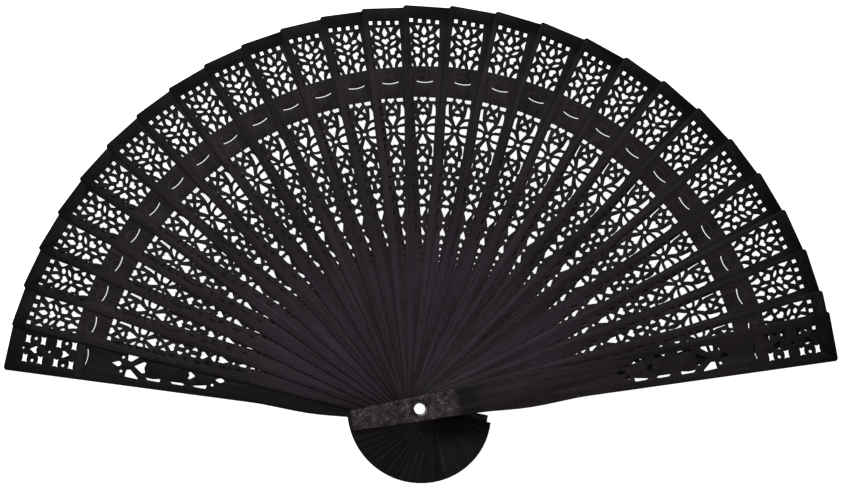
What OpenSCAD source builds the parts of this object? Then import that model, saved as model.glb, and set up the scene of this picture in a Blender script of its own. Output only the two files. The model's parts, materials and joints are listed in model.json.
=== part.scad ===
// Folding fan made only of pierced wooden sticks, lying flat and spread open.
// The pivot is the Z axis, the back guard's outer face is z = 0, and the fan opens towards +Y.
// Every stick lies on its left-hand neighbour, so the stack climbs from the back guard (left)
// to the front guard (right). All sizes are in millimetres.

/* [Spread] */
// angle of the back guard from +X in degrees
back_angle = 171.5; // [90:0.1:180]
// step between neighbours for the first 5 sticks, in degrees
step_first = 5.6; // [4:0.1:8]
// step for the next 9 sticks, in degrees
step_middle = 5.9; // [4:0.1:8]
// step for the next 4 sticks, which are pulled wider apart, in degrees
step_wide = 6.5; // [4:0.1:8]
// step for the last 8 sticks, in degrees
step_last = 6.2; // [4:0.1:8]
// step from the last stick to the front guard, in degrees
step_guard = 3.6; // [2:0.1:8]

/* [Sticks] */
// number of thin sticks between the guards
stick_count = 26; // [26:1:26]
// distance from the pivot to the tip of a stick
tip_r = 170; // [120:1:220]
// distance from the pivot to the butt end of a stick
butt_r = 29.2; // [20:1:40]
// thickness of a thin stick
stick_t = 0.4; // [0.4:0.05:1]
// half width of a stick at the pivot
pivot_half = 5; // [4:0.1:7]
// half width at the tip on the side that shows
tip_half_left = 8.8; // [8:0.1:10]
// half width at the tip on the side under the next stick
tip_half_right = 11; // [8:0.1:12]
// half width at the butt end
butt_half = 4; // [3:0.1:5]
// drop of the slanting tip from the left corner to the right corner
tip_slant = 1.1; // [0:0.1:3]

/* [Guards] */
// thickness of a guard stick
guard_t = 1.2; // [1:0.1:3]
// distance from the pivot to the butt end of a guard
guard_butt_r = 27.6; // [20:0.2:40]
// radius of the guards' tip corners
guard_corner = 1.2; // [0.5:0.1:3]

/* [Stack] */
// free gap between two thin sticks
stick_gap = 0.1; // [0.1:0.01:0.4]
// free gap between a guard and the stick beside it
guard_gap = 0.2; // [0.2:0.01:0.5]

/* [Lace] */
// how far every hole of the lace is drawn in, which makes the bars between the holes thicker
draw_in = 0.2; // [0:0.05:0.3]
// width of the windows along the tip
window_w = 1.4; // [1:0.1:2]
// length of the curved slit
slit_len = 6.6; // [4:0.1:9]
// width of the curved slit
slit_w = 0.4; // [0.3:0.05:0.8]

/* [Ribbon] */
// distance from the pivot to the middle of the ribbon
ribbon_r = 140.3; // [139:0.1:142]
// width of the ribbon
ribbon_w = 2.6; // [1:0.1:4]
// thickness of the ribbon
ribbon_t = 0.05; // [0.04:0.01:0.1]
// glue line between the ribbon and the wood
glue_t = 0.015; // [0.01:0.005:0.05]

/* [Eyelet] */
// radius of the hole through the eyelet
eyelet_in_r = 2.15; // [1.5:0.05:3]
// outer radius of the eyelet tube
eyelet_out_r = 2.5; // [2:0.05:3.5]
// radius of the pivot hole in every stick
bore_r = 2.56; // [2.2:0.01:4]
// radius of the eyelet's flange and of the washer
flange_r = 3.4; // [3:0.1:4.5]
// thickness of the flange and of the washer
flange_t = 0.35; // [0.2:0.05:0.6]
// depth of the recess in each guard for flange or washer
recess_d = 0.5; // [0.3:0.05:0.8]

/* [Colours] */
// black-stained wood of the thin sticks
wood_color = "#231f22";
// black-stained wood of the guards
guard_color = "#2d292b";
// black satin ribbon
ribbon_color = "#141215";
// nickel-plated brass
metal_color = "#a9a7a3";

/* [Hidden] */
$fn = 0;
$fa = 4;
$fs = 0.2;

pitch = stick_t + stick_gap;
first_z = guard_t + guard_gap;
front_z = first_z + (stick_count - 1) * pitch + stick_t + guard_gap;
total_h = front_z + guard_t;

// place of stick i in the spread; 0 is the back guard and stick_count + 1 the front guard
function part_of(i, start, count) = min(max(i - start, 0), count);
function stick_angle(i) = back_angle
    - step_first * part_of(i, 0, 5) - step_middle * part_of(i, 5, 9)
    - step_wide * part_of(i, 14, 4) - step_last * part_of(i, 18, 8)
    - step_guard * part_of(i, stick_count, 1);
function stick_z(i) = first_z + (i - 1) * pitch;
// half widths of a thin stick at distance r from the pivot
function left_half(r) = pivot_half + (tip_half_left - pivot_half) * r / tip_r;
function right_half(r) = pivot_half + (tip_half_right - pivot_half) * r / tip_r;

// ---------- small shapes that the lace is made of ----------

// puts a motif at x across the stick and r along it, turned by a
module at(x, r, a = 0) {
    translate([x, r])
        rotate(a)
            children();
}

// a motif drawn on the right-hand side, and its mirror image; the right one sits lower by drop
module sides(drop = 0) {
    translate([0, -drop / 2])
        children();
    translate([0, drop / 2])
        mirror([1, 0])
            children();
}

// a polygon with every side drawn in by d
function side_in(a, b) = let (e = (b - a) / norm(b - a)) [-e[1], e[0]];
function corner_in(a, b, c, d) =
    let (m = side_in(a, b), n = side_in(b, c)) b + (m + n) * d / max(1 + m * n, 0.45);
function twice_area(p, i = 0) =
    i >= len(p) ? 0 : cross(p[i], p[(i + 1) % len(p)]) + twice_area(p, i + 1);
module hole(p, d = draw_in) {
    n = len(p);
    way = twice_area(p) > 0 ? d : -d;
    polygon([for (i = [0 : n - 1]) corner_in(p[(i + n - 1) % n], p[i], p[(i + 1) % n], way)]);
}

// a round hole
module dot(r) {
    circle(r = r - draw_in * 0.6);
}

// a pointed leaf standing along the stick
module petal(full_len, full_wid) {
    len = full_len - 3 * draw_in;
    wid = full_wid - 2 * draw_in;
    arc_r = (len * len + wid * wid) / (4 * wid);
    intersection() {
        translate([arc_r - wid / 2, 0])
            circle(r = arc_r);
        translate([wid / 2 - arc_r, 0])
            circle(r = arc_r);
    }
}

// a heart standing on its point near the origin
module heart(full_wid, full_len) {
    wid = full_wid - 2 * draw_in;
    len = full_len - 2.4 * draw_in;
    lobe = wid / 3.94;
    cx = wid / 2 - lobe;
    cy = len - lobe;
    reach = norm([cx, cy]);
    touch = sqrt(reach * reach - lobe * lobe);
    dir = atan2(cy, cx) - asin(lobe / reach);
    tx = cx + 0.95 * (touch * cos(dir) - cx);
    ty = cy + 0.95 * (touch * sin(dir) - cy);
    translate([0, 1.4 * draw_in])
        union() {
            translate([cx, cy])
                circle(r = lobe);
            translate([-cx, cy])
                circle(r = lobe);
            polygon([[0, 0], [tx, ty], [cx, cy], [0, cy + lobe * 0.15], [-cx, cy], [-tx, ty]]);
        }
}

// a three-lobed leaf
module trefoil(lobe) {
    union() {
        for (a = [90, 210, 330])
            rotate(a)
                translate([lobe * 0.62, 0])
                    circle(r = lobe - draw_in * 0.7);
    }
}

// a square hole with hollowed flanks
module butterfly(wid, len) {
    hole([
        [-wid / 2, len / 2], [-wid * 0.2, len * 0.42], [wid * 0.2, len * 0.42], [wid / 2, len / 2],
        [wid * 0.4, 0],
        [wid / 2, -len / 2], [wid * 0.2, -len * 0.36], [-wid * 0.2, -len * 0.36], [-wid / 2, -len / 2],
        [-wid * 0.4, 0]
    ], draw_in / 2);
}

// ---------- lace of a thin stick ----------

// four small windows that follow the slanting tip
module tip_windows() {
    for (k = [-1.5 : 1 : 1.5])
        at(k * 3.6, 163.65 - k * 0.27)
            square([window_w, window_w + 0.2], center = true);
}

// leaves and hearts around one dot, above the ribbon band
module upper_lace() {
    at(0, 157.3)
        hole([
            [0, 0], [0.8, 0.9], [1.25, 2], [0.65, 3.5],
            [0, 4.5], [-0.65, 3.5], [-1.25, 2], [-0.8, 0.9]
        ]);
    sides(0.3)
        hole([[1.55, 161.8], [3.95, 161.8], [3.2, 160.3], [2.5, 159.1]]);
    sides(0.9)
        hole([[6.45, 161.5], [6.55, 156.7], [5.4, 157.7], [4.5, 159], [5.4, 160.4]]);
    sides(0.4)
        at(3.2, 157.4, -60)
            petal(2.9, 1.9);
    sides(0.2)
        at(3.2, 154.75, -54)
            petal(3.8, 1.4);
    at(0, 153.95)
        heart(3.3, 3);
    at(0, 152.85)
        dot(0.75);
    sides()
        at(1.3, 152.1, -118)
            heart(3.6, 2.9);
    at(0, 149.05)
        petal(3.6, 1.25);
    sides(1.1)
        hole([[6.4, 155.4], [6.3, 151.4], [5.5, 152.3], [4.95, 153.6], [5.6, 154.6]]);
    sides(0.6)
        at(5.1, 149.35)
            trefoil(0.66);
    sides()
        hole([
            [1.3, 147.4], [2.5, 148.5], [4.1, 147.7], [3.3, 145.7], [3.05, 144.1],
            [2, 144.1], [1.85, 145.3], [1.35, 146.4]
        ]);
    sides()
        hole([[6.1, 146.9], [6.15, 144.1], [4, 144.1], [4.2, 145.1], [4.8, 146], [5.4, 146.6]]);
    hole([[-1, 144.1], [1, 144.1], [0.8, 145.1], [0, 146.1], [-0.8, 145.1]]);
}

// the curved slit under the ribbon
module smile_slit() {
    arc_r = 10.2;
    intersection() {
        at(0.6, 147.6) {
            difference() {
                circle(r = arc_r + slit_w / 2);
                circle(r = arc_r - slit_w / 2);
            }
        }
        at(0.6, 137.6)
            square([slit_len, 2.4], center = true);
    }
}

// head of the inner lace, down to the big heart
module inner_head() {
    sides(0.2)
        hole([[5.2, 131.3], [5.15, 129.4], [2.8, 129.4], [2.2, 130.3], [2.35, 131.3]]);
    at(0, 128.7)
        heart(3, 2.7);
    sides()
        hole([[2.2, 128.8], [2.5, 126], [1.6, 126.6], [0.85, 127.4], [1.5, 128.2]]);
    hole([[0, 126.7], [1.25, 125.5], [0.9, 124.8], [-0.9, 124.8], [-1.25, 125.5]]);
    sides(0.3)
        hole([
            [4.1, 128.7], [4.9, 128], [5.35, 126.8], [5.3, 123.3],
            [2.9, 122.9], [3.45, 124.6], [3.65, 126.6], [3.8, 128]
        ]);
    at(0, 119.3)
        heart(3.5, 4.6);
}

// the large flower
module flower() {
    at(0, 117.55)
        dot(0.75);
    sides()
        union() {
            at(3, 117.5)
                circle(r = 1.38 - draw_in);
            hole([[3, 118.88], [4.95, 119.1], [4.9, 115.9], [3, 116.12]]);
        }
    sides()
        hole([
            [5.1, 122.2], [5, 120], [3.2, 119.8], [1.4, 119.2], [2.1, 120.6], [3.1, 121.7], [4, 122.1]
        ]);
    sides()
        hole([[4.9, 115.1], [4.8, 112.6], [3.7, 112.9], [2.7, 113.7], [1.4, 115.8], [3, 115.3]]);
    at(0, 115.8, 180)
        heart(3.5, 4.7);
    sides(0.2)
        hole([[2.9, 111.6], [4.6, 111.8], [4.55, 106], [3.45, 106], [3.95, 108.3], [3.75, 110]]);
}

// crossed bars with a heart below
module cross_group() {
    hole([
        [-1.15, 109.9], [-0.7, 110.35], [0.7, 110.35], [1.15, 109.9],
        [0.65, 109.2], [0, 108.6], [-0.65, 109.2]
    ]);
    sides()
        hole([[2.25, 109.4], [2.5, 106.3], [1.6, 106.9], [0.9, 107.7], [1.5, 108.6]]);
    at(0, 106.55, 180)
        heart(3.4, 3.1);
    sides(0.2)
        at(3.4, 103.75)
            square([1.1 - draw_in, 2.7 - 2 * draw_in], center = true);
}

// the small flower
module small_flower() {
    at(0, 98.1)
        dot(0.75);
    sides()
        hole([[0.75, 102.3], [1.6, 102.2], [2.6, 101.1], [1.7, 99.9], [0.75, 99.7]]);
    sides()
        hole([[0.75, 93.9], [1.6, 94], [2.6, 95.1], [1.7, 96.3], [0.75, 96.5]]);
    sides()
        hole([[2, 98.1], [3, 98.7], [4.1, 98.9], [4.1, 97.3], [3, 97.5]]);
    sides()
        at(3.5, 92.85)
            square([0.95 - draw_in, 2.6 - 2 * draw_in], center = true);
}

// hearts and half moon that run down to the plain wood
module inner_tail() {
    at(0, 89.2)
        heart(3.4, 3.3);
    sides()
        hole([[1.3, 88.7], [2.3, 89.8], [3.5, 90.4], [3.6, 86.3], [2.3, 87.5]]);
    hole([[0, 88.3], [1, 87.5], [1.65, 86.5], [1.2, 85.9], [-1.2, 85.9], [-1.65, 86.5], [-1, 87.5]]);
    at(0, 80.4)
        heart(3.4, 4.6);
    sides()
        at(2.75, 82.4, 8)
            petal(4, 1.15);
    at(0, 78.5)
        dot(0.6);
    at(0, 76.6, 180)
        heart(2.9, 3.8);
    sides()
        at(2.25, 75.6, 6)
            petal(4.2, 1.05);
    hole([[0, 71.8], [1.05, 70.4], [0.8, 69.4], [-0.8, 69.4], [-1.05, 70.4]]);
    at(0, 67.4)
        dot(0.6);
    at(0, 64.7)
        dot(0.5);
    at(0, 62.3)
        dot(0.4);
}

module stick_lace() {
    tip_windows();
    upper_lace();
    smile_slit();
    inner_head();
    flower();
    cross_group();
    small_flower();
    inner_tail();
}

// ---------- lace of a guard ----------

// four butterflies, two dots and a heart between them; turn = 180 sets it on its head
module guard_group(r, turn = 0) {
    for (s = [-1, 1])
        sides()
            at(4, r + s * 3.1, s > 0 ? 0 : 180)
                butterfly(3.6, 2.5);
    sides()
        at(4.6, r)
            circle(r = 0.65);
    at(0, r, turn)
        hole([
            [0, 2], [0.9, 0.6], [1.6, -0.5], [1.3, -1.4],
            [0, -0.9], [-1.3, -1.4], [-1.6, -0.5], [-0.9, 0.6]
        ], draw_in / 2);
}

module guard_lace() {
    guard_group(159.6);
    guard_group(146.8, 180);
    at(0, 153.2)
        circle(r = 0.5);
    at(0, 164)
        circle(r = 0.45);
    smile_slit();
    at(0, 125.2)
        hole([
            [0, 2.3], [0.6, 1], [1.2, -0.4], [1, -1.4],
            [0, -2], [-1, -1.4], [-1.2, -0.4], [-0.6, 1]
        ], draw_in / 2);
    sides()
        at(2.9, 123)
            circle(r = 0.6);
    sides()
        hole([[1.9, 121], [4.9, 121.3], [5.2, 115.6], [4.6, 115.7], [1.5, 119.4]], draw_in / 2);
    hole([[0, 118.2], [2.5, 114.3], [2.1, 113.1], [0, 113.8], [-2.1, 113.1], [-2.5, 114.3]], draw_in / 2);
    sides()
        hole([[3.8, 112.8], [4.9, 111.6], [4.9, 106.6], [3.3, 106.4], [3.9, 109.6]], draw_in / 2);
    sides()
        hole([[3.7, 102.4], [4.7, 101.4], [4.7, 97.2], [4.1, 96.2], [3.5, 97.4]], draw_in / 2);
    at(0, 93.2)
        hole([[-1.4, 2.6], [0, 2], [1.4, 2.6], [1.6, 1.4], [0, -0.6], [-1.6, 1.4]], draw_in / 2);
    sides()
        hole([[3.9, 93.4], [4.5, 92], [4.5, 87.6], [2.7, 87.3], [3.2, 90]], draw_in / 2);
    sides()
        at(2.4, 85.3)
            circle(r = 0.6);
    at(0, 82.3)
        hole([
            [0, 2.4], [0.7, 1.2], [1.1, 0], [0.7, -1.2],
            [0, -1.8], [-0.7, -1.2], [-1.1, 0], [-0.7, 1.2]
        ], draw_in / 2);
}

// ---------- outlines, with the stick standing along +Y ----------

module stick_outline() {
    corner = 1.4;
    low_r = 24;
    left_y = tip_r + tip_slant / 2;
    right_y = tip_r - tip_slant / 2;
    difference() {
        polygon([
            [-pivot_half, 0], [-tip_half_left, left_y],
            [tip_half_right - 0.5, right_y], [tip_half_right, right_y - 0.5], [pivot_half, 0],
            [butt_half, -low_r], [butt_half, -butt_r - 1], [-butt_half, -butt_r - 1], [-butt_half, -low_r]
        ]);
        translate([-tip_half_left - 1, left_y - corner])
            difference() {
                square([corner + 1, corner + 1]);
                translate([corner + 1, 0])
                    circle(r = corner);
            }
        difference() {
            translate([-2 * butt_half, -butt_r - 3])
                square([4 * butt_half, 7]);
            circle(r = butt_r);
        }
    }
}

// half width of a guard: wide at the tip, a soft swelling at 46, slim around the pivot
function swell(r, mid, span) = max(0, 1 - pow((r - mid) / span, 2));
function guard_half(r) =
    r < 0 ? 5.1 + r / guard_butt_r
    : 5.1 + (r > 66 ? (r - 66) * 0.0345 : 0) + 1.55 * (r > 46 ? 1 : pow(sin(r / 46 * 90), 3))
        + 0.55 * pow(swell(r, 46, 20), 2);

module guard_outline() {
    step = 4;
    top_x = guard_half(tip_r);
    rise = [for (r = [-guard_butt_r : step : tip_r - guard_corner]) r];
    fall = [for (k = [len(rise) - 1 : -1 : 0]) rise[k]];
    union() {
        polygon(concat(
            [for (r = rise) [guard_half(r), r]],
            [[top_x, tip_r - guard_corner], [top_x - guard_corner, tip_r]],
            [[guard_corner - top_x, tip_r + 0.4], [-top_x, tip_r + 0.4 - guard_corner]],
            [for (r = fall) [-guard_half(r), r]]
        ));
        translate([top_x - guard_corner, tip_r - guard_corner])
            circle(r = guard_corner);
        translate([guard_corner - top_x, tip_r + 0.4 - guard_corner])
            circle(r = guard_corner);
    }
}

// ---------- sub-parts ----------

// turns a stick that stands along +Y to its place in the spread
module spread(i) {
    rotate(stick_angle(i) - 90)
        children();
}

module stick(i) {
    color(wood_color)
        translate([0, 0, stick_z(i)])
            spread(i)
                linear_extrude(height = stick_t)
                    difference() {
                        stick_outline();
                        circle(r = bore_r);
                        stick_lace();
                    }
}

// guard blank with lace and pivot hole, z = 0 at its lower face
module guard_blank() {
    linear_extrude(height = guard_t)
        difference() {
            guard_outline();
            circle(r = bore_r);
            guard_lace();
        }
}

module back_guard() {
    color(guard_color)
        spread(0)
            difference() {
                guard_blank();
                translate([0, 0, -1])
                    cylinder(r = flange_r + 0.15, h = 1 + recess_d);
            }
}

module front_guard() {
    color(guard_color)
        translate([0, 0, front_z])
            spread(stick_count + 1)
                difference() {
                    guard_blank();
                    translate([0, 0, guard_t - recess_d])
                        cylinder(r = flange_r + 0.15, h = 1 + recess_d);
                }
}

// a length of ribbon glued across one stick, with its lower face at z
module ribbon_length(i, z, left, right) {
    color(ribbon_color)
        translate([0, 0, z])
            spread(i)
                translate([-left, ribbon_r - ribbon_w / 2, 0])
                    cube([left + right, ribbon_w, ribbon_t]);
}

module ribbon(i) {
    edge = 0.4;
    low = stick_z(i) - glue_t - ribbon_t;
    ribbon_length(i, low, left_half(ribbon_r) - edge, right_half(ribbon_r) - edge);
}

module ribbon_back() {
    edge = 1;
    half = guard_half(ribbon_r) - edge;
    ribbon_length(0, guard_t + glue_t, half, half);
}

module ribbon_front() {
    edge = 1;
    half = guard_half(ribbon_r) - edge;
    ribbon_length(stick_count + 1, front_z - glue_t - ribbon_t, half, half);
}

// tube and upper flange of the pivot, turned about the Z axis
module eyelet() {
    low = 0;
    top = total_h - 0.1;
    color(metal_color)
        rotate_extrude()
            polygon([
                [eyelet_in_r, low], [eyelet_out_r, low], [eyelet_out_r, top - flange_t],
                [flange_r, top - flange_t], [flange_r, top - 0.12], [flange_r - 0.12, top],
                [eyelet_in_r + 0.25, top], [eyelet_in_r, top - 0.25]
            ]);
}

// ring that the lower end of the tube is clinched to, in the back guard's recess
module washer() {
    color(metal_color)
        translate([0, 0, 0.1])
            rotate_extrude()
                translate([eyelet_out_r, 0])
                    square([flange_r - eyelet_out_r, flange_t]);
}

function two_digits(i) = str(i < 10 ? "0" : "", i);

back_guard();
for (i = [1 : stick_count])
    stick(i);
front_guard();
ribbon_back();
for (i = [1 : stick_count])
    ribbon(i);
ribbon_front();
eyelet();
washer();
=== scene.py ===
import json
import math

import bpy
import numpy as np
from mathutils import Matrix, Quaternion, Vector


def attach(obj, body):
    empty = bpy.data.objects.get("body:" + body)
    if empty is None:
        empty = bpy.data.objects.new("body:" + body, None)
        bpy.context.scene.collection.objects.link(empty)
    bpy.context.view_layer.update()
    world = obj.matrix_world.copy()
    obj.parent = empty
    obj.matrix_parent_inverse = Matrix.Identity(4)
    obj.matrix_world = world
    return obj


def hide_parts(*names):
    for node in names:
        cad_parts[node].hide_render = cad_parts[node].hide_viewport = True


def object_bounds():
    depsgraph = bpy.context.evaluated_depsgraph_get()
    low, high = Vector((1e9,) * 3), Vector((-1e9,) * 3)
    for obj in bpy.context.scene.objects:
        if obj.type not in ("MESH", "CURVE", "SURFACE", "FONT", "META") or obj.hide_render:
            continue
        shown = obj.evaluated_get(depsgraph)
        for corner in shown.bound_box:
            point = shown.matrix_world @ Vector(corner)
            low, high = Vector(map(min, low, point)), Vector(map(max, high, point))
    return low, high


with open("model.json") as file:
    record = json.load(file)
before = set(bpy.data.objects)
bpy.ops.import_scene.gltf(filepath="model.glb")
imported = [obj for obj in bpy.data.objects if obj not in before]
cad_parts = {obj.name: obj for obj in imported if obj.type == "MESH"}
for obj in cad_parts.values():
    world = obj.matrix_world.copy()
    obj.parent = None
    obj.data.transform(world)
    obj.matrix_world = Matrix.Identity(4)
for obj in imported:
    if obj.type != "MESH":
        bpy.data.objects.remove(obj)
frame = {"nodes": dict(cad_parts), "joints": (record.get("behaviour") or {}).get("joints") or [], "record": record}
cad_low, cad_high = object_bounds()

# ---------------------------------------------------------------------------
# Studio: a white table top just under the open fan, a broad soft light above
# and beyond the tips, a weaker one on the left, and a camera high above the
# fan, on the pivot's side. MM is a millimetre in the scene's metres.
# ---------------------------------------------------------------------------
MM = 0.001
scene = bpy.context.scene
scene.view_settings.view_transform = "Standard"

camera_place = Vector((-0.00305, -0.18125, 1.22605))
camera_aim = Vector((-0.00088, 0.06915, 0.00800))
camera_roll = 0.028
camera_lens = 130.075
camera_data = bpy.data.cameras.new("studio_camera")
camera = bpy.data.objects.new("studio_camera", camera_data)
scene.collection.objects.link(camera)
camera.location = camera_place
level_view = (camera_aim - camera_place).to_track_quat("-Z", "Y")
camera.rotation_euler = (level_view @ Quaternion((0.0, 0.0, 1.0), camera_roll)).to_euler()
camera_data.lens = camera_lens
camera_data.sensor_width = 36.0
scene.camera = camera


def soft_light(name, place, aim, size, power):
    """A square soft box at place that faces aim."""
    data = bpy.data.lights.new(name, "AREA")
    data.size = size
    data.energy = power
    light = bpy.data.objects.new(name, data)
    scene.collection.objects.link(light)
    light.location = place
    light.rotation_euler = (Vector(aim) - Vector(place)).to_track_quat("-Z", "Y").to_euler()


soft_light("soft_box_top", (-0.35, 0.75, 0.95), (0.0, 0.08, 0.0), 0.7, 9.0)
soft_light("soft_box_left", (-0.9, -0.35, 0.6), (0.0, 0.05, 0.0), 0.5, 3.5)

world = bpy.data.worlds.new("studio_world")
world.use_nodes = True
sky = world.node_tree.nodes["Background"]
sky.inputs["Color"].default_value = (1.0, 1.0, 1.0, 1.0)
sky.inputs["Strength"].default_value = 0.3
scene.world = world


class Channel:
    """A value that varies over a surface. Arithmetic on it adds Math nodes."""

    def __init__(self, tree, socket):
        self.tree = tree
        self.socket = socket

    def _join(self, operation, *terms):
        math_node = self.tree.nodes.new("ShaderNodeMath")
        math_node.operation = operation
        for place, term in zip(math_node.inputs, terms):
            if isinstance(term, Channel):
                self.tree.links.new(term.socket, place)
            else:
                place.default_value = term
        return Channel(self.tree, math_node.outputs[0])

    def __add__(self, other):
        return self._join("ADD", self, other)

    def __radd__(self, other):
        return self._join("ADD", other, self)

    def __sub__(self, other):
        return self._join("SUBTRACT", self, other)

    def __rsub__(self, other):
        return self._join("SUBTRACT", other, self)

    def __mul__(self, other):
        return self._join("MULTIPLY", self, other)

    def __rmul__(self, other):
        return self._join("MULTIPLY", other, self)

    def __pow__(self, other):
        return self._join("POWER", self, other)

    def __rpow__(self, other):
        return self._join("POWER", other, self)

    def __abs__(self):
        return self._join("ABSOLUTE", self)


class Finish:
    """A material with one Principled shader, whose sockets are named with _ for a space."""

    def __init__(self, name, **constants):
        self.material = bpy.data.materials.new(name)
        self.material.use_nodes = True
        self.tree = self.material.node_tree
        self.shader = self.tree.nodes["Principled BSDF"]
        for socket, value in constants.items():
            self.shader.inputs[socket.replace("_", " ")].default_value = value

    def node(self, kind, settings=None, inputs=None, output=0):
        """Adds a node, sets its settings and then its sockets, and gives one of its outputs."""
        made = self.tree.nodes.new(kind)
        for setting, value in (settings or {}).items():
            setattr(made, setting, value)
        for socket, value in (inputs or {}).items():
            if isinstance(value, Channel):
                self.tree.links.new(value.socket, made.inputs[socket])
            else:
                made.inputs[socket].default_value = value
        return Channel(self.tree, made.outputs[output])

    def step(self, value, start, end):
        """0 where value is under start, 1 where it is over end, smooth between."""
        return self.node(
            "ShaderNodeMapRange",
            {"interpolation_type": "SMOOTHSTEP"},
            {"Value": value, "From Min": start, "From Max": end, "To Min": 0.0, "To Max": 1.0},
        )

    def part(self, vector, axis):
        """One coordinate of a vector: 0, 1 or 2."""
        return self.node("ShaderNodeSeparateXYZ", {}, {0: vector}, output=axis)

    def stretch(self, vector, x, y, z):
        """Coordinates for a pattern with about x, y and z features a metre along each axis."""
        return self.node(
            "ShaderNodeVectorMath", {"operation": "MULTIPLY"}, {0: vector, 1: (x, y, z)},
        )

    def noise(self, vector, scale=1.0, detail=3.0, rough=0.5, distortion=0.0):
        look = {"Scale": scale, "Detail": detail, "Roughness": rough, "Distortion": distortion}
        return self.node("ShaderNodeTexNoise", {}, {"Vector": vector, **look})

    def mix(self, factor, first, second):
        """Two colours mixed by factor; a colour is a triple or a Channel."""
        first = first if isinstance(first, Channel) else (*first, 1.0)
        second = second if isinstance(second, Channel) else (*second, 1.0)
        return self.node(
            "ShaderNodeMix", {"data_type": "RGBA"}, {0: factor, 6: first, 7: second}, output=2,
        )

    def bump(self, height, strength, deep):
        """A normal from a relief in which a height of 1 stands for deep metres."""
        return self.node(
            "ShaderNodeBump", {}, {"Height": height, "Strength": strength, "Distance": deep},
        )

    def feed(self, **channels):
        """Links channels to the shader's sockets."""
        for socket, value in channels.items():
            self.tree.links.new(value.socket, self.shader.inputs[socket.replace("_", " ")])


def work_on(piece):
    """Makes piece the only selected and the active object."""
    bpy.ops.object.select_all(action="DESELECT")
    piece.select_set(True)
    bpy.context.view_layer.objects.active = piece


bpy.ops.object.select_all(action="DESELECT")
table_gap = 0.02 * MM
bpy.ops.mesh.primitive_plane_add(size=6.0, location=(0.0, 0.0, cad_low.z - table_gap))
table_top = bpy.context.object
table_top.name = "table_top"
table_white = Finish(
    "white_table", Base_Color=(0.9, 0.9, 0.9, 1.0), Roughness=0.9,
    Emission_Color=(1.0, 1.0, 1.0, 1.0), Emission_Strength=0.9,
)
table_top.data.materials.append(table_white.material)

# ---------------------------------------------------------------------------
# Thin sticks: 0.4 mm blades of close-grained wood, pierced with lace, likely
# by stamping, and dyed black. Their edges are slightly rounded. They are darker
# at both ends, and the dye is darkest in the walls of the holes.
# ---------------------------------------------------------------------------
back_direction = math.radians(171.5)
fan_fold = next(j for j in frame["joints"] if j["name"] == "fan_fold")
fold_range = math.radians(fan_fold["range_deg"][1])
ratios = {c["joint"]: c["ratio"] for c in frame["record"]["behaviour"]["couplings"]}
stick_names = sorted(n for n in frame["nodes"] if n.startswith("stick_"))
direction = {n: back_direction - ratios[n + "_turn"] * fold_range for n in stick_names}
direction["back_guard"] = back_direction
direction["front_guard"] = back_direction - fold_range


def stick_frame(name):
    """Turns the row frame to the stick's own: Y along the stick, X to its right."""
    return Matrix.Rotation(math.pi / 2 - direction[name], 4, "Z")


def pierced_blade(node, name, edge_round):
    """A merged copy of a flat CAD blade with rounded edges and the grain's own coordinates."""
    blade = bpy.data.objects.new(name, frame["nodes"][node].data.copy())
    scene.collection.objects.link(blade)
    blade.data.materials.clear()
    work_on(blade)
    bpy.ops.object.mode_set(mode="EDIT")
    bpy.ops.mesh.select_all(action="SELECT")
    bpy.ops.mesh.remove_doubles(threshold=0.001 * MM)
    bpy.ops.mesh.dissolve_limited(angle_limit=math.radians(0.5))
    bpy.ops.object.mode_set(mode="OBJECT")
    bpy.ops.object.shade_smooth()
    bpy.ops.object.modifier_add(type="BEVEL")
    bevel = blade.modifiers[-1]
    bevel.width = edge_round
    bevel.segments = 2
    bevel.limit_method = "ANGLE"
    bevel.angle_limit = math.radians(60)
    bevel.use_clamp_overlap = True
    bevel.harden_normals = True
    bpy.ops.object.modifier_apply(modifier=bevel.name)
    count = len(blade.data.vertices)
    points = np.zeros(count * 3)
    blade.data.vertices.foreach_get("co", points)
    turn = np.array(stick_frame(node).to_3x3())
    places = points.reshape(-1, 3) @ turn.T
    # Each blade takes its grain 0.4 m further into the wood, so no two are alike.
    next_place = 0.4
    places[:, 2] += sorted(direction).index(node) * next_place
    grain = blade.data.attributes.new("grain", "FLOAT_VECTOR", "POINT")
    grain.data.foreach_set("vector", places.astype(np.float32).ravel())
    return blade


def shade(colour, share):
    """The colour with every part of it multiplied by share."""
    return tuple(part * share for part in colour)


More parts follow.
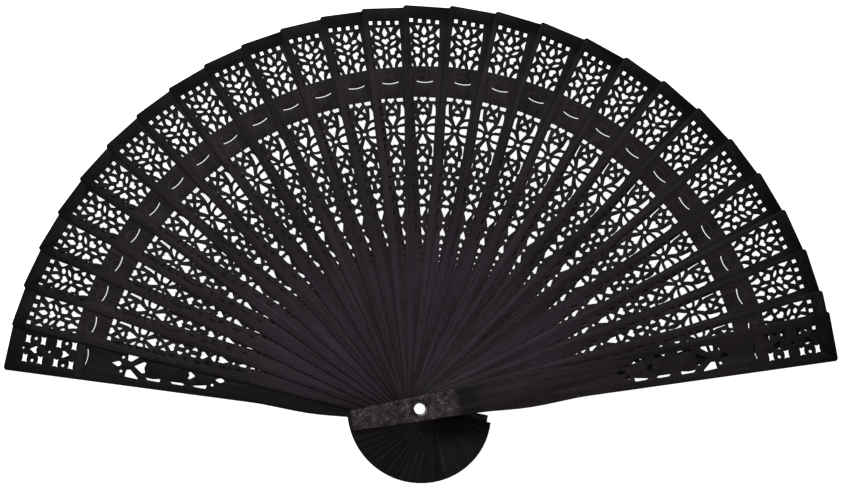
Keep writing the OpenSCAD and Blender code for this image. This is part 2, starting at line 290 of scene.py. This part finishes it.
def stained_wood(name, dark, light, guard_wear_and_shade):
    """Black-dyed wood, its grain along the stick; the last argument is 1 for a guard, with its wear and painted
    shadow band, 0 for a thin stick.
    """
    wood = Finish(name, Specular_IOR_Level=0.10, IOR=1.45)
    grain = wood.node("ShaderNodeAttribute", {"attribute_name": "grain"}, output=1)
    across = wood.part(grain, 0)
    along = wood.part(grain, 1)

    bands = wood.noise(wood.stretch(grain, 420.0, 11.0, 420.0), detail=4.0, distortion=0.6)
    fibres = wood.noise(wood.stretch(grain, 2600.0, 60.0, 2600.0), detail=3.0, rough=0.65)
    pores = wood.noise(wood.stretch(grain, 2200.0, 190.0, 2200.0), detail=1.0)
    cloud = wood.noise(wood.stretch(grain, 60.0, 32.0, 60.0), detail=2.0)
    pore = wood.step(pores, 0.62, 0.72)
    tone = wood.step(bands * 0.45 + fibres * 0.3 + cloud * 0.25, 0.34, 0.66)
    colour = wood.mix(tone, dark, light)
    colour = wood.mix(pore * 0.6, colour, shade(dark, 0.4))

    fleck = wood.noise(wood.stretch(grain, 1900.0, 620.0, 1900.0), detail=4.0, rough=0.7)
    colour = wood.mix(wood.step(fleck, 0.50, 0.72) * 0.55, colour, shade(light, 1.7))

    # Darker outwards, more so past the slit and at the tip, and darker on a thin stick's butt.
    outer_part = wood.step(along, 55 * MM, 95 * MM)
    past_slit = wood.step(along, 142 * MM, 150 * MM)
    tip_rim = wood.step(along, 160 * MM, 166 * MM)
    butt = 1.0 - wood.step(along, -14 * MM, -4 * MM)
    end_darkening = outer_part * 0.34 + past_slit * 0.26 + tip_rim * 0.38
    end_darkening = end_darkening + butt * (0.6 * (1.0 - guard_wear_and_shade))
    colour = wood.mix(end_darkening, colour, shade(dark, 0.15))

    # A thin stick has a dark line along its left edge, partly dye pooled along the edge and partly painted contact
    # shadow between neighbouring sticks.
    pivot_half, tip_half, tip_r = 5.0 * MM, 8.8 * MM, 170.0 * MM
    from_edge = across + pivot_half + along * ((tip_half - pivot_half) / tip_r)
    edge_dye_and_shadow = (1.0 - wood.step(from_edge, 0.12 * MM, 0.55 * MM)) * (1.0 - guard_wear_and_shade)
    colour = wood.mix(edge_dye_and_shadow * 0.75, colour, shade(dark, 0.25))

    # A raised arc over the slit; its punch may have pressed it up. Its lighter colour is a painted highlight.
    arc_radius = 3.1 * MM
    arc_across = across + 0.6 * MM
    arc_along = along - 137.6 * MM
    from_arc = (arc_across * arc_across + arc_along * arc_along) ** 0.5 - arc_radius
    arc_ridge_and_highlight = 1.0 - wood.step(abs(from_arc), 0.08 * MM, 0.30 * MM)
    arc_ridge_and_highlight = arc_ridge_and_highlight * wood.step(along, 138.2 * MM, 138.8 * MM)
    # The lightening along the arc is a painted highlight.
    colour = wood.mix(arc_ridge_and_highlight * 0.35, colour, shade(light, 2.2))

    # A guard's butt is lighter in blotches and rubbed grey in places, up to a dark band of painted shade beyond
    # the pivot.
    scratch = wood.noise(
        wood.stretch(grain, 900.0, 260.0, 900.0), detail=6.0, rough=0.75, distortion=1.2,
    )
    lighter_butt = (1.0 - wood.step(along, 13 * MM, 18 * MM)) * guard_wear_and_shade
    blotch = wood.noise(wood.stretch(grain, 380.0, 300.0, 380.0), detail=6.0, rough=0.7)
    colour = wood.mix(lighter_butt * wood.step(blotch, 0.36, 0.66), colour, shade(light, 2.3))
    rub_and_glint = wood.noise(wood.stretch(grain, 1100.0, 700.0, 1100.0), detail=5.0, rough=0.8)
    bare = lighter_butt * wood.step(rub_and_glint + blotch * 0.3, 0.70, 0.80)
    colour = wood.mix(bare * 0.7, colour, (0.17, 0.16, 0.16))
    # The dark band beyond the pivot is painted shadow.
    painted_shadow_band = wood.step(along, 14 * MM, 17 * MM) - wood.step(along, 20 * MM, 28 * MM)
    colour = wood.mix(painted_shadow_band * guard_wear_and_shade * 0.6, colour, shade(dark, 0.3))
    scuff = wood.step(scratch + lighter_butt * 0.08, 0.68, 0.84) * (0.3 + 0.7 * guard_wear_and_shade)
    colour = wood.mix(scuff * 0.35, colour, (0.15, 0.14, 0.14))

    facing = wood.node("ShaderNodeTexCoord", {}, output=1)
    wall = 1.0 - wood.step(abs(wood.part(facing, 2)), 0.2, 0.75)
    colour = wood.mix(wall * 0.75, colour, shade(dark, 0.35))
    height = fibres * 0.5 + bands * 0.35 - pore * 0.6 + scuff * 0.25 + arc_ridge_and_highlight * 0.8
    rough = 0.5 + fibres * 0.16 - tone * 0.08 + wall * 0.2 + scuff * 0.15
    wood.feed(Base_Color=colour, Roughness=rough, Normal=wood.bump(height, 0.5, 0.05 * MM))
    return wood.material


stick_edge_round = 0.07 * MM
stick_wood = stained_wood("stick_wood", (0.0090, 0.0066, 0.0090), (0.0275, 0.0208, 0.0275), 0.0)
for node in stick_names:
    blade = pierced_blade(node, node + "_blade", stick_edge_round)
    blade.data.materials.append(stick_wood)
    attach(blade, node)
    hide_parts(node)

# ---------------------------------------------------------------------------
# Guards: the two thicker outer sticks, of the same dyed wood, pierced with a
# lace of their own and with rounded edges. Their butts are rubbed grey. The
# back guard's darker tones are painted shade.
# ---------------------------------------------------------------------------
guard_edge_round = 0.16 * MM
# The back guard's tones are darker than the front guard's as painted shade, since it lies under all the other
# sticks.
guard_tones_back_shaded = {
    "back_guard": ((0.0034, 0.0026, 0.0035), (0.0090, 0.0072, 0.0094)),
    "front_guard": ((0.0074, 0.0053, 0.0069), (0.0205, 0.0152, 0.0193)),
}
for node, (dark, light) in guard_tones_back_shaded.items():
    guard = pierced_blade(node, node + "_blade", guard_edge_round)
    guard.data.materials.append(stained_wood(node + "_wood", dark, light, 1.0))
    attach(guard, node)
    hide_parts(node)

# ---------------------------------------------------------------------------
# Ribbon: narrow black satin just outside the slit, likely glued, on the back
# of each stick and of the front guard and on the top of the back guard. Its
# edges are thicker, and its ends uneven and darker, as if cut with heat.
# ---------------------------------------------------------------------------
ribbon_long = 15.6 * MM
ribbon_wide = 2.6 * MM
ribbon_thick = 0.05 * MM

bpy.ops.object.select_all(action="DESELECT")
bpy.ops.mesh.primitive_grid_add(
    x_subdivisions=40, y_subdivisions=10, size=1.0, location=(0.0, 0.0, 0.0),
)
ribbon_pattern = bpy.context.object
ribbon_pattern.name = "ribbon_pattern"
work_on(ribbon_pattern)
bpy.ops.object.mode_set(mode="EDIT")
bpy.ops.mesh.select_all(action="SELECT")
bpy.ops.transform.resize(value=(ribbon_long, ribbon_wide, 1.0))
bpy.ops.object.mode_set(mode="OBJECT")
cut_waver = 0.006
end_columns = ribbon_long * 0.49
for corner in ribbon_pattern.data.vertices:
    place = corner.co.y / ribbon_wide
    if abs(corner.co.x) > end_columns:
        corner.co.x *= 1.0 - cut_waver + cut_waver * math.sin(21.0 * place)
bpy.ops.object.modifier_add(type="SOLIDIFY")
ribbon_pattern.modifiers[-1].thickness = ribbon_thick
ribbon_pattern.modifiers[-1].offset = 0.0
bpy.ops.object.modifier_apply(modifier=ribbon_pattern.modifiers[-1].name)
middle_rows = ribbon_wide * 0.42
middle_thickness = 0.8
for corner in ribbon_pattern.data.vertices:
    if abs(corner.co.y) < middle_rows:
        corner.co.z *= middle_thickness
bpy.ops.object.shade_smooth_by_angle(angle=math.radians(40))

satin = Finish(
    "black_satin", Specular_IOR_Level=0.14, Sheen_Weight=0.03, Sheen_Roughness=0.3,
    Sheen_Tint=(0.55, 0.52, 0.58, 1.0),
)
weave = satin.node("ShaderNodeAttribute", {"attribute_name": "weave"}, output=1)
lengthwise = satin.part(weave, 0)
crosswise = satin.part(weave, 1)
warp_pitch = 0.11 * MM
weft_pitch = 0.24 * MM
warp_turn = crosswise * (2 * math.pi / warp_pitch)
weft_turn = lengthwise * (2 * math.pi / weft_pitch)
warp = satin.node("ShaderNodeMath", {"operation": "SINE"}, {0: warp_turn})
weft = satin.node("ShaderNodeMath", {"operation": "SINE"}, {0: weft_turn})
slub = satin.noise(satin.stretch(weave, 300.0, 5200.0, 300.0), detail=3.0)
selvedge = satin.step(abs(crosswise), 1.05 * MM, 1.12 * MM)
thread = (warp * 0.5 + 0.5) * 0.5 + (weft * 0.5 + 0.5) * (0.2 + selvedge * 0.4) + slub * 0.3
satin_dark = (0.0018, 0.0015, 0.0020)
satin_light = (0.0085, 0.0075, 0.0092)
satin_colour = satin.mix(satin.step(thread, 0.2, 0.9), satin_dark, satin_light)
sealed_end = satin.step(abs(lengthwise), 7.45 * MM, 7.7 * MM)
satin_colour = satin.mix(sealed_end * 0.7, satin_colour, (0.0020, 0.0018, 0.0022))
satin_rough = 0.34 + slub * 0.14 + selvedge * 0.15
satin_bump = satin.bump(thread, 0.6, 0.02 * MM)
satin.feed(Base_Color=satin_colour, Roughness=satin_rough, Normal=satin_bump)

ribbon_of = {"ribbon_back": "back_guard", "ribbon_front": "front_guard"}
ribbon_of.update({"ribbon_" + n[-2:]: n for n in stick_names})
for node, carrier in sorted(ribbon_of.items()):
    own_frame = stick_frame(carrier)
    corners = [own_frame @ v.co for v in frame["nodes"][node].data.vertices]
    low = Vector([min(c[k] for c in corners) for k in range(3)])
    high = Vector([max(c[k] for c in corners) for k in range(3)])
    strip = bpy.data.objects.new(node + "_satin", ribbon_pattern.data.copy())
    scene.collection.objects.link(strip)
    weave_data = strip.data.attributes.new("weave", "FLOAT_VECTOR", "POINT")
    for corner in strip.data.vertices:
        weave_data.data[corner.index].vector = corner.co
    to_length = Matrix.Diagonal(((high.x - low.x) / ribbon_long, 1.0, 1.0, 1.0))
    to_middle = Matrix.Translation((low + high) / 2)
    strip.data.transform(own_frame.inverted() @ to_middle @ to_length)
    strip.data.materials.append(satin.material)
    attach(strip, carrier)
    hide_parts(node)
bpy.data.objects.remove(ribbon_pattern)

# ---------------------------------------------------------------------------
# Eyelet: a hollow rivet of dark metal, likely nickel-plated brass, through all
# sticks, with a turned-over flange in the front guard. One side of its rim has a
# painted highlight. The inside is painted bright, as painted light, so that the hole reads as white.
# ---------------------------------------------------------------------------


def turned_ring(name, outline, sides=96):
    """A ring with a closed outline of (radius, height) points, turned about the pivot axis."""
    bpy.ops.object.select_all(action="DESELECT")
    radius, height = outline[0]
    bpy.ops.mesh.primitive_circle_add(
        vertices=sides, radius=radius * MM, location=(0.0, 0.0, height * MM),
    )
    ring = bpy.context.object
    ring.name = name
    work_on(ring)
    bpy.ops.object.transform_apply(location=True, rotation=True, scale=True)
    bpy.ops.object.mode_set(mode="EDIT")
    bpy.ops.mesh.select_all(action="SELECT")
    for next_radius, next_height in [*outline[1:], outline[0]]:
        bpy.ops.mesh.extrude_region_move(
            TRANSFORM_OT_translate={"value": (0.0, 0.0, (next_height - height) * MM)},
        )
        grow = next_radius / radius
        bpy.ops.transform.resize(
            value=(grow, grow, 1.0), center_override=(0.0, 0.0, next_height * MM),
        )
        radius, height = next_radius, next_height
    bpy.ops.mesh.select_all(action="SELECT")
    bpy.ops.mesh.remove_doubles(threshold=0.002 * MM)
    bpy.ops.mesh.normals_make_consistent(inside=False)
    bpy.ops.object.mode_set(mode="OBJECT")
    bpy.ops.object.shade_smooth_by_angle(angle=math.radians(40))
    return ring


def nickel_with_painted_light(name, rub_and_glint):
    """Nickel, dark outside, with the inside of the tube painted bright as painted light and a painted highlight
    towards +X and -Y, scaled by the second argument.
    """
    metal = Finish(name, Metallic=1.0)
    place = metal.node("ShaderNodeTexCoord", {}, output=3)
    east = metal.part(place, 0)
    north = metal.part(place, 1)
    patch = metal.noise(place, scale=1400.0, detail=5.0, rough=0.65)
    fine = metal.noise(metal.stretch(place, 9000.0, 9000.0, 1500.0), detail=2.0)
    towards = (east - north) * (0.5 / MM) + (patch - 0.5) * 2.4
    # A painted highlight on the rim towards +X and -Y, scaled by the second argument.
    painted_highlight = metal.step(towards, 0.7, 2.4) * rub_and_glint
    tarnish_dark = (0.012, 0.011, 0.012)
    tarnish_light = (0.045, 0.043, 0.042)
    colour = metal.mix(metal.step(patch, 0.35, 0.7), tarnish_dark, tarnish_light)
    colour = metal.mix(painted_highlight, colour, (0.42, 0.41, 0.40))
    # The inside of the tube is painted near white as painted light, so that the hole reads as white.
    inside = 1.0 - metal.step((east * east + north * north) ** 0.5, 2.22 * MM, 2.34 * MM)
    colour = metal.mix(inside, colour, (0.93, 0.92, 0.90))
    rough = 0.46 - painted_highlight * 0.2 + fine * 0.1 - inside * 0.38
    relief = metal.bump(fine * 0.4 + patch * 0.6, 0.35, 0.02 * MM)
    metal.feed(Base_Color=colour, Roughness=rough, Normal=relief)
    return metal.material


eyelet_outline = [
    (2.15, 0.08), (2.15, 5.0), (2.15, 10.0), (2.15, 15.28), (2.19, 15.42), (2.29, 15.53),
    (2.44, 15.59), (2.65, 15.60), (2.90, 15.60), (3.12, 15.57), (3.28, 15.50), (3.37, 15.41),
    (3.40, 15.34),
    (3.36, 15.27), (3.26, 15.25), (2.50, 15.25), (2.50, 10.0), (2.50, 5.0), (2.50, 0.08),
    (2.46, 0.01), (2.33, 0.0), (2.19, 0.01),
]
eyelet = turned_ring("eyelet_rivet", eyelet_outline)
eyelet.data.materials.append(nickel_with_painted_light("eyelet_nickel", 1.0))
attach(eyelet, "back_guard")
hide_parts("eyelet")

# ---------------------------------------------------------------------------
# Washer: a nickel ring around the lower end of the tube, sunk in the back
# guard's recess, where the tube of a real fan is clinched to it. Its edges are
# broken. Nothing of it is seen from above, so it is a guess.
# ---------------------------------------------------------------------------
washer_outline = [
    (2.50, 0.16), (2.56, 0.10), (2.95, 0.12), (3.32, 0.10), (3.38, 0.14), (3.40, 0.20),
    (3.40, 0.38), (3.36, 0.44), (3.28, 0.45), (2.58, 0.45), (2.50, 0.40),
]
washer = turned_ring("washer_ring", washer_outline)
# The washer gets the same painted highlight, weaker.
washer.data.materials.append(nickel_with_painted_light("washer_nickel", 0.4))
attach(washer, "back_guard")
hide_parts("washer")
